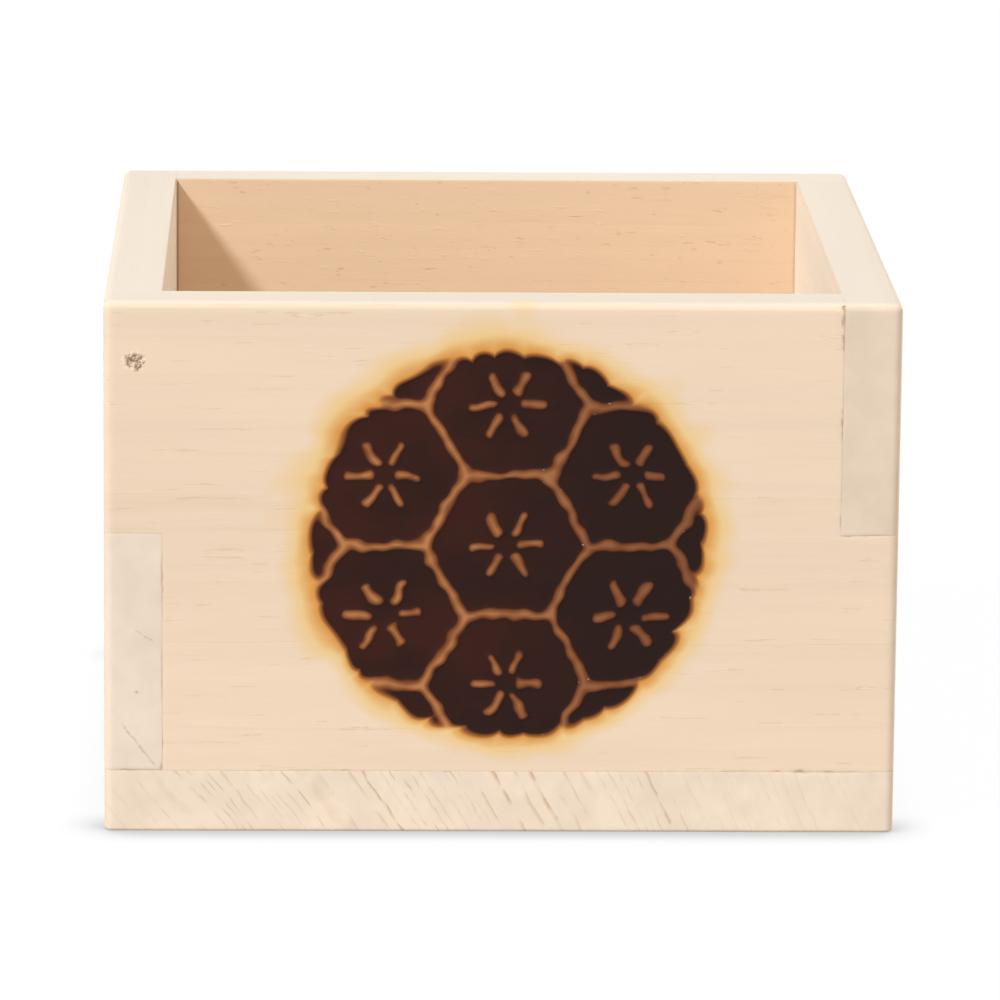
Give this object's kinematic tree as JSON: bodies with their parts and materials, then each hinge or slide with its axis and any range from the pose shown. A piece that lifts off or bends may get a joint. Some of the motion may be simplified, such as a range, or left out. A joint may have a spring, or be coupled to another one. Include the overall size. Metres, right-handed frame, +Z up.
{
  "type": "wooden measuring box",
  "caption": "Square open-topped wooden measuring box: four boards half-lapped at the corners in a pinwheel, glued on a flush base board.",
  "frame": {"origin": "on the ground, at the middle of the base board's underside", "axes": "+Z up out of the mouth, +X to the right seen from the front, +Y from the marked front wall to the back wall"},
  "size_m": [0.085, 0.085, 0.058],
  "materials": {
    "wall_wood": "planed and lightly sanded, no varnish",
    "marked_wall_wood": "planed and lightly sanded, with a round mark burnt in with a hot iron",
    "base_wood": "planed and lightly sanded, no varnish"
  },
  "bodies": {
    "root": {"base_board": "base_wood", "front_wall": "marked_wall_wood", "right_wall": "wall_wood", "back_wall": "wall_wood", "left_wall": "wall_wood"}
  },
  "joints": []
}
